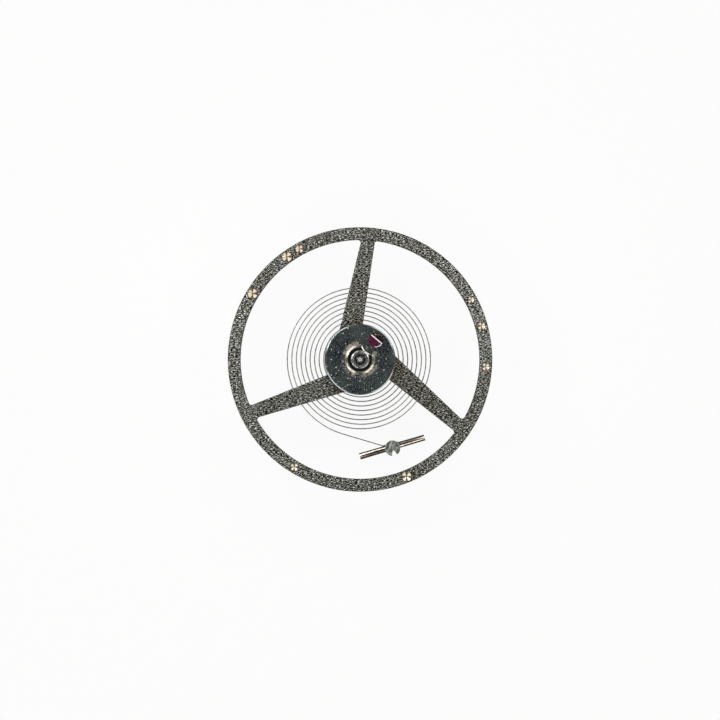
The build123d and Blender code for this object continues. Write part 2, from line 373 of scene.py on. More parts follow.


# %% [markdown]
# ## Frosted nickel
#
# The wheel is copper alloy with a frosted nickel plating. Frosting is done with grit: it leaves a
# skin of tiny pits and crests, which seen straight on is a dark grey, because most of the light is
# thrown to the side, with single crests that flash. Those flashes are painted into the colour as
# white highlights. The real pits are finer than a pixel of the picture, which is 0.04 mm wide. They
# are drawn 0.025 mm across, about the finest that shows, and drawn out along X, as rubbing in one
# direction leaves them. The top faces of the rim and the arms lie at whole multiples of that size,
# so the noise is cut alike in both.
#
# The arms lie a little deeper than the rim and are coloured darker, and round the hub the plating
# has tarnished brown in patches. The poising marks are drilled through the plating after it, so
# they show bare pale bronze, with a dark brown ring over the ring where the drill's burr was stoned
# off, and a darker colour towards the point. The mesh marks those places with an attribute, and the
# finish reads it.

# %% Frosted nickel on bronze
GRAIN, GRAIN_LENGTH, PIT, CLOUD = 0.025, 0.1, 0.025, 1.7
CREST_HEIGHT = 0.014
TARNISH_FROM, TARNISH_TO = 1.9, 1.35
ARM_SHADE, ARM_END, ARM_END_BLUR = 0.2, 4.4, 0.15


def frosted_nickel():
    """Dark frosted plating, with bare bronze where the mesh says so."""
    made, add, shader = start_finish("frosted_nickel", Metallic=1.0)
    grid, level = millimetre_grid(add), level_share(add)
    radius, _ = from_staff(add, grid)
    depth = add("Attribute", attribute_name="mark_depth").outputs["Fac"]
    along_x = add("VectorMath", grid, (GRAIN / GRAIN_LENGTH, 1, 1), operation="MULTIPLY")
    lines = add("TexNoise", along_x, Scale=1 / GRAIN, Detail=1.0)
    pits = add("TexNoise", grid, Scale=1 / PIT, Detail=2.0, Roughness=0.8)
    grain = add("Math", lines, pits, operation="ADD")
    cloud = add("TexNoise", grid, Scale=1 / CLOUD, Detail=2.0)
    near = add("MapRange", radius, TARNISH_FROM, TARNISH_TO, 0.0, 0.6)
    brown = add("Math", add("MapRange", cloud, 0.4, 0.55), near, operation="MULTIPLY")
    arms = add("MapRange", radius, ARM_END + ARM_END_BLUR, ARM_END - ARM_END_BLUR, 0.0, ARM_SHADE)
    bare = add("MapRange", depth, 0.05, 0.14)
    colour = coats(
        add, "#060704",
        (add("MapRange", grain, 0.91, 1.125), "#676956"),  # the plating between its pits
        # painted highlights: single crests that flash are painted white into the colour
        (add("MapRange", grain, 1.09, 1.18), "#ffffff"),  # single crests that flash
        (add("MapRange", cloud, 0.45, 0.7, 0.0, 0.35), "#a39a86", "MULTIPLY"),  # warm clouds
        (add("MapRange", level, 0.3, 0.6, 0.65, 0.0), "#6f6e64"),  # turned walls
        # painted shade: bevels and walls are darkened by their slope
        (add("MapRange", level, 0.55, 0.97, 0.75, 0.0), "#5a5a52", "MULTIPLY"),  # bevels
        (0.3, pits.outputs["Color"], "OVERLAY"),  # each pit's own tint
        # the arms are coloured darker than the rim
        (arms, "#000000"),
        (brown, "#b08a6a", "MULTIPLY"),
        (add("MapRange", depth, 0.0, 0.02), "#3b3327"),  # a dark brown ring over the stoned burr
        (bare, "#aaa08c"),
        (add("MapRange", depth, 0.7, 0.9, 0.0, 0.8), "#3b3327"),  # darker towards the point
    )
    rough = add("MapRange", grain, 0.8, 1.2, 0.5, 0.32)
    strength = add("MapRange", bare, 0.0, 1.0, 0.9, 0.03)
    bump = add("Bump", Height=grain, Strength=strength, Distance=CREST_HEIGHT * MM)
    feed(shader, Base_Color=colour, Roughness=add("Mix", bare, rough, 0.08), Normal=bump)
    return made


wheel_finish = frosted_nickel()
print("finish:", wheel_finish.name)

# %% [markdown]
# ## Turned and polished metal
#
# Everything that was turned shows fine rings round its axis, even after polishing. A ring
# pattern is a noise that sees only the distance from the staff and the height. The same small
# network serves the staff, the small roller and the collet, each with its own colour, width of
# ring and polish. Real rings are a few thousandths of a millimetre wide and are drawn coarser.

# %% Turned metal
SPOT, RING_HEIGHT = 0.07, 0.005
PAINTED_SHADE_BLUR, BRIGHT_BLUR, SHADE_LEVEL_BLUR = 0.015, 0.01, 0.02


def turned_metal(name, colour, dark, ring, rough, painted_shade_band=(0.0, 0.0, 0.0), painted_level_shade=0.45,
                 painted_highlight_radius=-1.0):
    """Polished metal with turning rings about the staff.

    Painted shade band: a dark band painted where shade falls, given by its two radii and how level
    a face must lie to take it.
    Painted level shade: how much painted shade darkens the level faces. Painted highlight radius:
    the radius within which a highlight is painted near white.
    """
    made, add, shader = start_finish(name, Metallic=1.0)
    grid, level = millimetre_grid(add), level_share(add)
    radius, height = from_staff(add, grid)
    inner, outer, shade_level = painted_shade_band
    profile = add("CombineXYZ", radius, height)
    rings = add("TexNoise", profile, Scale=1 / ring, Detail=3.0, Roughness=0.7)
    spots = add("TexNoise", grid, Scale=1 / SPOT, Detail=3.0)
    shade = add("Math", rings, spots, operation="MULTIPLY")
    inside = add("MapRange", radius, inner - PAINTED_SHADE_BLUR, inner + PAINTED_SHADE_BLUR)
    outside = add("MapRange", radius, outer + PAINTED_SHADE_BLUR, outer - PAINTED_SHADE_BLUR)
    oil_stain_and_painted_shade = add("Math", inside, outside, operation="MULTIPLY")
    oil_stain_and_painted_shade = add("Math", oil_stain_and_painted_shade, add("MapRange", level, shade_level, shade_level + SHADE_LEVEL_BLUR), operation="MULTIPLY")
    tone = coats(
        add, dark,
        (add("MapRange", shade, 0.14, 0.34), colour),
        # painted shade on the level faces
        (add("MapRange", level, 0.8, 0.99, 0.0, painted_level_shade), "#8d8d88", "MULTIPLY"),
        # painted highlight on the pivot's end, near the staff's axis
        (add("MapRange", radius, painted_highlight_radius + BRIGHT_BLUR, painted_highlight_radius - BRIGHT_BLUR), "#fafaf8"),
        # a dark band of painted shade
        (add("MapRange", oil_stain_and_painted_shade, 0.0, 1.0, 0.0, 0.92), "#141515"),
    )
    bump = add("Bump", Height=rings, Strength=0.6, Distance=RING_HEIGHT * MM)
    feed(shader, Base_Color=tone, Normal=bump,
         Roughness=add("MapRange", spots, 0.3, 0.7, rough * 0.7, rough * 1.5))
    return made


# The tuples are painted shade bands: a dark ring painted on the staff's trumpets, and one round the
# small roller's bore.
staff_finish = turned_metal("polished_steel", "#d2d2d0", "#3c3c42", 0.03, 0.2,
                            (0.12, 0.185, -0.1), painted_level_shade=0.0, painted_highlight_radius=0.11)
small_finish = turned_metal("pale_roller_brass", "#e6dfd0", "#857d6c", 0.04, 0.16,
                            (0.355, 0.45, 0.95))
collet_finish = turned_metal("turned_brass", "#d8bb78", "#8d7440", 0.04, 0.28)
print("finishes:", staff_finish.name, small_finish.name, collet_finish.name)

# %% [markdown]
# ## Black-polished steel
#
# The face of the roller table is lapped on tin until it is a mirror. Such a face looks black when
# it is seen straight on and bright when it is tilted; the black is painted shade in its dark base
# colour, and the bright bevel is a painted highlight. It has a cold, slightly blue cast, dust sits
# on it as single light specks, and round the small roller patches and a drop of dried oil have
# stayed.

# %% Black-polished steel
PATCH, MOTTLE, DUST = 0.7, 0.2, 0.045
STAIN_RADIUS, STAIN_MARGIN = 0.74, 0.02
DROP_RADIUS, DROP_BLUR, DROP_ANGLE, DROP_CIRCLE = 0.1, 0.03, 23.0, 0.6
JEWEL_ANGLE, CRESCENT_CIRCLE, CRESCENT_RADIUS, CRESCENT_BLUR = 50.5, 0.825, 0.458, 0.08
crescent_middle = heading(JEWEL_ANGLE) * CRESCENT_CIRCLE
oil_drop = heading(DROP_ANGLE) * DROP_CIRCLE


def black_polish():
    """Mirror steel painted dark, with a painted highlight on its bevel, dust, and dried oil round
    the small roller.
    """
    made, add, shader = start_finish("black_polished_steel")
    grid, level = millimetre_grid(add), level_share(add)
    radius, _ = from_staff(add, grid)
    patch = add("TexNoise", grid, Scale=1 / PATCH, Detail=6.0, Roughness=0.7)
    haze = add("TexNoise", grid, Scale=1 / DUST, Detail=1.0)
    dust = add("TexVoronoi", grid, Scale=1 / (2 * DUST))
    few = add("MapRange", add("SeparateColor", dust.outputs["Color"]), 0.77, 0.97)
    speck = add("Math", add("MapRange", dust, 0.35, 0.2), few, operation="MULTIPLY")
    mottle = add("TexNoise", grid, Scale=1 / MOTTLE, Detail=5.0, Roughness=0.8)
    patches = add("Math", towards_corner(add, grid), 0.7, mottle, operation="MULTIPLY_ADD")
    near = add("MapRange", radius, STAIN_RADIUS, small_radius + STAIN_MARGIN)
    away = add("MapRange", distance_to(add, grid, crescent_middle), CRESCENT_RADIUS,
               CRESCENT_RADIUS + CRESCENT_BLUR)
    oil_stain_and_painted_shade = add("Math", near, add("MapRange", patches, 0.54, 0.65), operation="MULTIPLY")
    oil_stain_and_painted_shade = add("Math", oil_stain_and_painted_shade, away, operation="MULTIPLY")
    drop = add("MapRange", distance_to(add, grid, oil_drop), DROP_RADIUS, DROP_RADIUS - DROP_BLUR)
    colour = coats(
        # dark blue base colour: the blue cast is the steel's, the darkness is painted shade of the
        # mirror face
        add, "#222e4d",
        (add("MapRange", patch, 0.4, 0.6), "#788880"),
        (add("MapRange", haze, 0.45, 0.75), "#d6dedb"),
        (add("MapRange", level, 0.96, 0.85), "#8c918e"),  # painted highlight on the bevel
        (drop, "#7f866f"),
        (oil_stain_and_painted_shade, "#bfae9a"),
        (speck, "#b4bbb5"),
    )
    stain = add("Math", oil_stain_and_painted_shade, speck, operation="MAXIMUM")
    stain = add("Math", stain, drop, operation="MAXIMUM")
    feed(shader, Base_Color=colour, Metallic=add("MapRange", stain, 0.0, 1.0, 1.0, 0.0),
         Roughness=add("MapRange", stain, 0.0, 1.0, 0.12, 0.6))
    return made


table_finish = black_polish()
print("finish:", table_finish.name)

# %% [markdown]
# ## Ruby and shellac
#
# The impulse jewel is synthetic ruby, a hard clear crystal of a deep purplish red with a
# refractive index of 1.77. It is held by shellac, a natural resin that is melted into the hole.
# It is amber, glossy where it ran and full of small bubbles.

# %% Ruby and shellac
RUBY_CLOUD, STREAK, STREAK_HEIGHT = 0.1, 0.06, 0.02


def ruby():
    """Clear purplish red crystal, polished, with a painted highlight on the bevels ground on its
    edges.
    """
    made, add, shader = start_finish("ruby", IOR=1.77)
    level = level_share(add)
    cloud = add("TexNoise", millimetre_grid(add), Scale=1 / RUBY_CLOUD, Detail=3.0)
    ground = add("Math", add("MapRange", level, 0.97, 0.9), add("MapRange", level, 0.1, 0.3),
                 operation="MULTIPLY")
    colour = coats(add, "#300419", (add("MapRange", cloud, 0.35, 0.65), "#680c3f"),
                   # painted highlight on the ground bevels
                   (ground, "#f6e3e8"))
    feed(shader, Base_Color=colour, Roughness=add("MapRange", ground, 0.0, 1.0, 0.05, 0.5),
         Transmission_Weight=add("MapRange", ground, 0.0, 1.0, 0.3, 0.0))
    return made


def shellac():
    """Dark amber resin with painted pale glints in streaks along the jewel's flat."""
    made, add, shader = start_finish("amber_shellac", IOR=1.52, Transmission_Weight=0.2)
    along = add("Mapping", millimetre_grid(add), Scale=(0.35, 1.0, 1.0),
                Rotation=(0, 0, math.radians(90 - JEWEL_ANGLE)))
    streak = add("TexNoise", along, Scale=1 / STREAK, Detail=2.0, Distortion=0.4)
    # painted glints: pale streaks in the colour
    glint = add("MapRange", streak, 0.56, 0.68)
    bump = add("Bump", Height=streak, Strength=0.5, Distance=STREAK_HEIGHT * MM)
    feed(shader, Base_Color=coats(add, "#1b1512", (glint, "#c9aca2")), Normal=bump,
         Roughness=add("MapRange", glint, 0.0, 1.0, 0.1, 0.4))
    return made


ruby_finish, shellac_finish = ruby(), shellac()
print("finishes:", ruby_finish.name, shellac_finish.name)

# %% [markdown]
# ## Drawn wire and rolled strip
#
# The two pins are drawn brass wire and the hairspring is rolled from drawn wire. Both show fine
# lines along their length. On the pins, the pattern is turned by the angle at which the stud's pin
# lies in the plane of the wheel and stretched along it, and the collet's pin lies within four
# degrees of that. The spring is a pixel wide, so its lines may run along X. The stud is filed, so
# its lines run across it. All of them are drawn coarser than they are.

# %% Drawn metal
SCUFF, LINE_HEIGHT, LINE_STRETCH = 0.11, 0.005, 0.08
PIN_ANGLE, FILED_ACROSS = 16.3, 60.0


def drawn_metal(name, colour, dark, angle, rough, line=0.03, sides=0.0, painted_level_shade=0.0):
    """Metal with fine lines along a direction in the plane of the wheel.

    Sides: how much painted shade darkens its steep sides. Painted level shade: how much painted
    shade darkens the line along its top.
    """
    made, add, shader = start_finish(name, Metallic=1.0)
    grid, level = millimetre_grid(add), level_share(add)
    along = add("Mapping", grid, Rotation=(0, 0, -math.radians(angle)))
    along = add("Mapping", along, Scale=(LINE_STRETCH, 1.0, 1.0))
    lines = add("TexNoise", along, Scale=1 / line, Detail=3.0)
    scuffs = add("TexNoise", grid, Scale=1 / SCUFF, Detail=4.0)
    tone = add("Math", lines, scuffs, operation="MULTIPLY")
    shade = coats(
        add, dark,
        (add("MapRange", tone, 0.14, 0.34), colour),
        # painted shade on the steep sides
        (add("MapRange", level, 0.72, 0.84, sides, 0.0), "#1d1913"),
        # painted shade along the level line on the top
        (add("MapRange", level, 0.962, 0.985, 0.0, painted_level_shade), "#2a251e"),
    )
    bump = add("Bump", Height=lines, Strength=0.5, Distance=LINE_HEIGHT * MM)
    feed(shader, Base_Color=shade, Normal=bump,
         Roughness=add("MapRange", scuffs, 0.3, 0.7, rough * 0.7, rough * 1.4))
    return made


# On the pins, the dark sides and the dark top line are painted shade, which leaves the pale wire
# between them as bright bands.
pin_finish = drawn_metal("drawn_brass", "#f6eadd", "#94897b", PIN_ANGLE, 0.1, sides=1.0,
                         painted_level_shade=0.92)
stud_finish = drawn_metal("stud_grey_steel", "#fafff6", "#78827b", PIN_ANGLE + FILED_ACROSS,
                          0.27, line=0.09, sides=0.2)
spring_finish = drawn_metal("rolled_spring_alloy", "#b4b2b0", "#8b8988", 0.0, 0.3)
print("finishes:", pin_finish.name, stud_finish.name, spring_finish.name)

# %% [markdown]
# ## The camera
#
# The picture looks straight down the staff from the roller side. A long lens from far away keeps
# the rim and the spring at the same scale. The object's middle lies a fraction of a pixel off the
# middle of the picture.

# %% Camera
PICTURE = 720
PIXELS_PER_MM = 26.46
middle_px = Vector((360.02, 359.47))
lens, sensor = 200.0, 36.0
view_width = PICTURE / PIXELS_PER_MM
camera_data = bpy.data.cameras.new("camera")
camera_data.lens, camera_data.sensor_width = lens, sensor
camera_data.clip_start, camera_data.clip_end = MM, 10.0
camera = bpy.data.objects.new("camera", camera_data)
bpy.context.scene.collection.objects.link(camera)
shift = (middle_px - Vector((PICTURE / 2, PICTURE / 2))) / PIXELS_PER_MM
camera.location = Vector((-shift.x, shift.y, rim_high.z + view_width * lens / sensor)) * MM
bpy.context.scene.camera = camera
bpy.context.scene.view_settings.view_transform = "Standard"
print("camera height", round(camera.location.z, 4), "m, picture width", round(view_width, 2), "mm")

# %% [markdown]
# ## The floor
#
# The balance lies in a soft light tent on a white floor. The floor keeps a faint shadow, and for
# the camera and in reflections it is white, because for those rays most of the paper's own look
# gives way to plain emission.

# %% Floor
FLOOR_SIZE, FLOOR_SHADOW = 500, 0.08


def white_floor():
    """A wide pale plane under the lower pivot, unseen from below."""
    bm = bmesh.new()
    bmesh.ops.create_grid(bm, x_segments=1, y_segments=1, size=FLOOR_SIZE * MM)
    bmesh.ops.translate(bm, vec=(0, 0, staff_low.z * MM), verts=bm.verts)
    floor = as_object("floor", bm)
    paper, add, shader = start_finish("white_paper", Base_Color="#f4f2f0", Roughness=0.9)
    ray = add("LightPath")
    seen = add("Math", ray.outputs["Is Camera Ray"], ray.outputs["Is Glossy Ray"],
               operation="MAXIMUM")
    seen = add("Math", seen, ray.outputs["Is Transmission Ray"], operation="MAXIMUM")
    share = add("MapRange", seen, 0.0, 1.0, 0.0, 1.0 - FLOOR_SHADOW)
    lit = add("MixShader", share, shader, add("Emission", "#fefefe", 1.0))
    below = add("NewGeometry").outputs["Backfacing"]
    both = add("MixShader", below, lit, add("BsdfTransparent"))
    feed(paper.node_tree.nodes["Material Output"], Surface=both)
    floor.data.materials.append(paper)
    return floor


floor = white_floor()
print("floor at", round(floor.data.vertices[0].co.z / MM, 3), "mm")

# %% [markdown]
# ## The light
#
# Four soft boxes stand at the corners, as one would place them to light a polished part: their
# light comes in from the sides, so every bevel and every drilled mark catches two or four of
# them, and the darker cloth between the boxes draws a cross into each mark. The lens looks down
# through an opening in the tent's dim top, which polished steel and ruby mirror as a dark face.
# Two small strip lights, above the left and the right of the rim, bring out the grain of the
# plating, more strongly on the left.

# %% Light tent and soft boxes
BOX_HEIGHT, BOX_DISTANCE = 37.0, 38.0
BOX_WIDTH, BOX_DEPTH = 27.0, 25.0
FIRST_BOX = 135
BOX_RADIANCE = (1.9, 1.6, 1.4, 1.7)
TENT_CORNERS, TENT_FLAGS, TENT_TOP, TENT_OPENING = 0.5, 0.22, 0.34, 0.5
STRIP_PLACE, STRIP_LIGHT_SIZE, STRIP_RADIANCE = (6.4, 2.8, 8.0), (2.0, 5.0), (7.0, 3.4)


def light_tent():
    """Soft light from all round, white at the horizon, dimmer overhead and between the boxes."""
    world = bpy.data.worlds.new("light_tent")
    world.use_nodes = True
    add = partial(add_node, world.node_tree)
    way = add("TexCoord").outputs["Generated"]
    up = add("SeparateXYZ", way).outputs["Z"]
    cloth = add("MapRange", towards_corner(add, way), 0.03, 0.22, TENT_FLAGS, TENT_CORNERS)
    horizon = add("MapRange", up, 0.05, 0.5, 1.0, 0.0)
    top = add("MapRange", up, 0.86, 0.96, 0.0, TENT_TOP)
    opening = add("MapRange", up, 0.985, 0.995, 1.0, TENT_OPENING)
    strength = add("Math", cloth, horizon, operation="MAXIMUM")
    strength = add("Math", strength, top, operation="MAXIMUM")
    strength = add("Math", strength, opening, operation="MULTIPLY")
    feed(world.node_tree.nodes["Background"], "#fcfcfc", strength)
    bpy.context.scene.world = world


def soft_box(name, place, width, depth, radiance):
    """A rectangular soft box at a place in millimetres, looking at the balance."""
    data = bpy.data.lights.new(name, "AREA")
    data.shape = "RECTANGLE"
    data.size, data.size_y = width * MM, depth * MM
    data.energy = radiance * math.pi * data.size * data.size_y
    lamp = bpy.data.objects.new(name, data)
    bpy.context.scene.collection.objects.link(lamp)
    lamp.location = Vector(place) * MM
    lamp.rotation_mode = "QUATERNION"
    lamp.rotation_quaternion = Vector(place).to_track_quat("Z", "Y")
    lamp.visible_camera = False


light_tent()
for corner, radiance in enumerate(BOX_RADIANCE):
    place = heading(FIRST_BOX - 90 * corner, math.tan(math.radians(BOX_HEIGHT))).normalized()
    soft_box(f"soft_box_{corner}", place * BOX_DISTANCE, BOX_WIDTH, BOX_DEPTH, radiance)
for side, radiance in zip((-1, 1), STRIP_RADIANCE):
    place = Vector(STRIP_PLACE) * Vector((side, 1, 1))
    soft_box(f"strip_light_{side}", place, *STRIP_LIGHT_SIZE, radiance)
print("lamps:", len(BOX_RADIANCE) + len(STRIP_RADIANCE))

# %% [markdown]
# ## The wheel
#
# A smooth balance wheel is turned and milled from one piece of metal: a rim, and in it a thin
# web whose three arms are left between milled windows. The arms don't point at the staff. Each
# is set off to one side, tapers outwards and runs into the rim with a small fillet.
#
# The web's outline is drawn with the pen, arm by arm: along the hub, round the fillet, out along
# one side, round the fillet at the rim, a little way into the rim's metal, and back on the other
# side. A fillet's centre is found where the distances to the arm's side and to the circle agree.
# The closed outline is filled, extruded to the web's thickness and bevelled.

# %% The web with its arms
RIM_WIDTH = 0.48
RIM_BEVEL = 0.03
ARM_DIRECTIONS = (-40.97, 79.03, 199.03)
ARM_OFFSET = 0.551
ARM_ROOT = 0.94
ARM_TIP = 0.515
ARM_RECESS = 0.05
ARM_THICKNESS = 0.2
ARM_BEVEL = 0.022
RIM_FILLET = 0.11
HUB_MARGIN = 0.08
HUB_FILLET = 0.2
RIM_STEPS, HUB_STEPS, HUB_FILLET_STEPS, RIM_FILLET_STEPS, ARM_END_STEPS = 360, 24, 8, 10, 16

rim_inner = rim_radius - RIM_WIDTH
hub_radius = ARM_OFFSET + ARM_ROOT / 2 + HUB_MARGIN
arm_top = rim_high.z - ARM_RECESS
arm_bottom = arm_top - ARM_THICKNESS
lean = (ARM_ROOT - ARM_TIP) / rim_inner


def arm_side(direction, side):
    """A point on an arm's side level with the staff, the way outwards, and the way off it."""
    along, across = heading(direction), heading(direction + 90)
    start = across * (ARM_OFFSET + side * ARM_ROOT / 2)
    way = (along - across * side * lean / 2).normalized()
    off = Vector((-way.y, way.x, 0)) * side
    return start, way, off


def fillet_centre(start, way, off, fillet, circle):
    """Centre of the fillet that touches the arm's side and lies on a circle about the staff."""
    shifted = start + off * fillet
    along = shifted.dot(way)
    reach = -along + math.sqrt(along**2 - shifted.length_squared + circle**2)
    return shifted + way * reach


def round_fillet(bm, tip, centre, start, end, steps):
    """Draws a fillet's arc, clockwise from one touching point to the other."""
    swing = (end - centre).xy.to_3d().angle((start - centre).xy.to_3d())
    return arc_about(bm, tip, centre, UP, -swing, steps)


def web():
    """Hub and arms as one thin plate."""
    bm = bmesh.new()
    tip = first = None
    for direction in ARM_DIRECTIONS:
        corners = []
        for side in (-1, 1):
            start, way, off = arm_side(direction, side)
            hub_centre = fillet_centre(start, way, off, HUB_FILLET, hub_radius + HUB_FILLET)
            rim_centre = fillet_centre(start, way, off, RIM_FILLET, rim_inner - RIM_FILLET)
            corners.append({
                "hub": hub_centre.normalized() * hub_radius, "hub_centre": hub_centre,
                "root": hub_centre - off * HUB_FILLET, "end": rim_centre - off * RIM_FILLET,
                "rim_centre": rim_centre, "rim": rim_centre.normalized() * rim_inner,
                "inside": rim_centre.normalized() * (rim_inner + RIM_WIDTH / 3),
            })
        right, left = corners
        if tip is None:
            tip = first = bm.verts.new(right["hub"])
        else:
            swing = tip.co.xy.to_3d().angle(right["hub"])
            tip = arc_about(bm, tip, (0, 0, 0), UP, swing, HUB_STEPS)
        tip = round_fillet(bm, tip, right["hub_centre"], right["hub"], right["root"],
                           HUB_FILLET_STEPS)
        tip = line_to(bm, tip, right["end"])
        tip = round_fillet(bm, tip, right["rim_centre"], right["end"], right["rim"],
                           RIM_FILLET_STEPS)
        tip = line_to(bm, tip, right["inside"])
        swing = right["inside"].angle(left["inside"])
        tip = arc_about(bm, tip, (0, 0, 0), UP, swing, ARM_END_STEPS)
        tip = line_to(bm, tip, left["rim"])
        tip = round_fillet(bm, tip, left["rim_centre"], left["rim"], left["end"], RIM_FILLET_STEPS)
        tip = line_to(bm, tip, left["root"])
        tip = round_fillet(bm, tip, left["hub_centre"], left["root"], left["hub"], HUB_FILLET_STEPS)
    arc_about(bm, tip, (0, 0, 0), UP, tip.co.angle(first.co), HUB_STEPS)
    bmesh.ops.remove_doubles(bm, verts=bm.verts, dist=10 * TOUCHING)
    bmesh.ops.translate(bm, vec=(0, 0, arm_bottom), verts=bm.verts)
    make_plate(bm, ARM_THICKNESS)
    level = [e for e in bm.edges if abs(e.verts[0].co.z - e.verts[1].co.z) < TOUCHING]
    bevel(bm, level, ARM_BEVEL, 2)
    return bm


wheel = web()
print("web:", len(wheel.faces), "faces, arms", round(arm_bottom, 3), "to", round(arm_top, 3), "mm")

# %% [markdown]
# The rim is turned, joined to the web, and bored for the staff. The poising marks come last.
# To poise a balance, a watchmaker finds its heavy side and drills shallow cone-shaped marks
# there, so they have several sizes and lie where that wheel needed them. The drill throws up a
# burr, and stoning it off leaves a ring round the mark, a few thousandths of a millimetre deep.

# %% Rim, bore and poising marks
SEAT_RADIUS = 0.552
SMALL_MARK, MEDIUM_MARK, LARGE_MARK = [share * RIM_WIDTH for share in (0.27, 0.325, 0.41)]
MARK_DEPTH_SHARE = 0.5
MARK_STEPS = 48
BURR_RING, BURR_SINK, BURR_NOTE, NEAR_MARK = 0.03, 0.002, 0.03, 0.001
MARKS = [
    (118.8, MEDIUM_MARK), (125.5, LARGE_MARK), (148.5, LARGE_MARK), (28.2, SMALL_MARK),
    (15.4, MEDIUM_MARK), (-3.3, MEDIUM_MARK), (-121.4, MEDIUM_MARK), (-68.3, LARGE_MARK),
]
mark_circle = rim_radius - RIM_WIDTH / 2


def rim_ring():
    """The rim, turned with small bevels on its four edges."""
    return turned([
        (rim_inner, rim_low.z + RIM_BEVEL), (rim_inner + RIM_BEVEL, rim_low.z),
        (rim_radius - RIM_BEVEL, rim_low.z), (rim_radius, rim_low.z + RIM_BEVEL),
        (rim_radius, rim_high.z - RIM_BEVEL), (rim_radius - RIM_BEVEL, rim_high.z),
        (rim_inner + RIM_BEVEL, rim_high.z), (rim_inner, rim_high.z - RIM_BEVEL),
    ], RIM_STEPS)


def place_of_mark(angle):
    """Matrix that moves a shape to a mark's middle on the rim's face."""
    return Matrix.Translation(heading(angle) * mark_circle + Vector((0, 0, rim_high.z)))


def drill_points():
    """All the drill's cones in one mesh. Each runs on above the rim, so that it cuts cleanly."""
    bm = bmesh.new()
    for angle, radius in MARKS:
        bmesh.ops.create_cone(bm, cap_ends=True, segments=MARK_STEPS, radius1=0.0,
                              radius2=2 * radius, depth=2 * radius * MARK_DEPTH_SHARE,
                              matrix=place_of_mark(angle))
    bmesh.ops.remove_doubles(bm, verts=bm.verts, dist=TOUCHING)
    bmesh.ops.recalc_face_normals(bm, faces=bm.faces)
    return bm


def burr_rings():
    """Very shallow discs round the marks, where the drill's burr was stoned off."""
    bm = bmesh.new()
    for angle, radius in MARKS:
        bmesh.ops.create_cone(bm, cap_ends=True, segments=MARK_STEPS, radius1=radius + BURR_RING,
                              radius2=radius + BURR_RING, depth=2 * BURR_SINK,
                              matrix=place_of_mark(angle))
    return bm


def note_depths(bm):
    """Writes 1 at the bottom of each mark, a trace at its edge and 0 beyond the burr's ring."""
    depth = bm.verts.layers.float.new("mark_depth")
    count = 0
    for angle, radius in MARKS:
        bottom = heading(angle) * mark_circle
        bottom.z = rim_high.z - radius * MARK_DEPTH_SHARE
        for v in bm.verts:
            if (v.co - bottom).length < NEAR_MARK:
                v[depth] = 1.0
                count += 1
            elif (v.co - bottom).xy.length < radius + NEAR_MARK and v.co.z > bottom.z:
                v[depth] = BURR_NOTE
    return count


wheel = combine(wheel, rim_ring(), "UNION")
wheel = combine(wheel, bar((0, 0, arm_top), UP, SEAT_RADIUS, DRILL_LENGTH), "DIFFERENCE")
wheel = combine(wheel, burr_rings(), "DIFFERENCE")
wheel = combine(wheel, drill_points(), "DIFFERENCE")
print("marks with a bottom:", note_depths(wheel))
settle("wheel", wheel, wheel_finish, "balance_wheel")

# %% [markdown]
# ## The staff
#
# The staff is one turned piece of steel, hardened and polished: at each end a fine pivot that
# widens into the staff in a trumpet shape, a post for the rollers, a flange against which the
# wheel is riveted, and a seat for the collet. The pen draws it from tip to tip. Each trumpet is
# one arc that leaves the pivot without a corner.

# %% The staff
PIVOT_RADIUS, PIVOT_LENGTH, PIVOT_ROUNDING = 0.06, 0.28, 0.02
POST_RADIUS, POST_BEVEL, ROLLER_CONE = 0.34, 0.03, 0.19
FLANGE_RADIUS, WHEEL_SEAT = 0.6, 0.55
RIVET_RADIUS, RIVET_BEVEL, RIVET_HEIGHT = 0.7, 0.04, 0.07
COLLET_SEAT, COLLET_CONE, SEAT_SPARE = 0.355, 0.25, 0.04
CROWN_SLOPE = math.radians(32)
STAFF_ROUNDING, STAFF_STEPS, STAFF_ARC_STEPS = 0.005, 128, 12

seat_bottom = collet_low.z - SEAT_SPARE
shoulder = small_high.z - (POST_RADIUS - ROLLER_CONE) / 2 * math.tan(CROWN_SLOPE / 2)
rivet_bottom = arm_bottom - RIVET_HEIGHT


def trumpet(shoulder, root, cone):
    """Radius of the arc from a pivot to its cone, and how far it turns."""
    rise, widening = abs(root - shoulder), cone - PIVOT_RADIUS
    radius = (widening**2 + rise**2) / (2 * widening)
    return radius, math.asin(rise / radius)


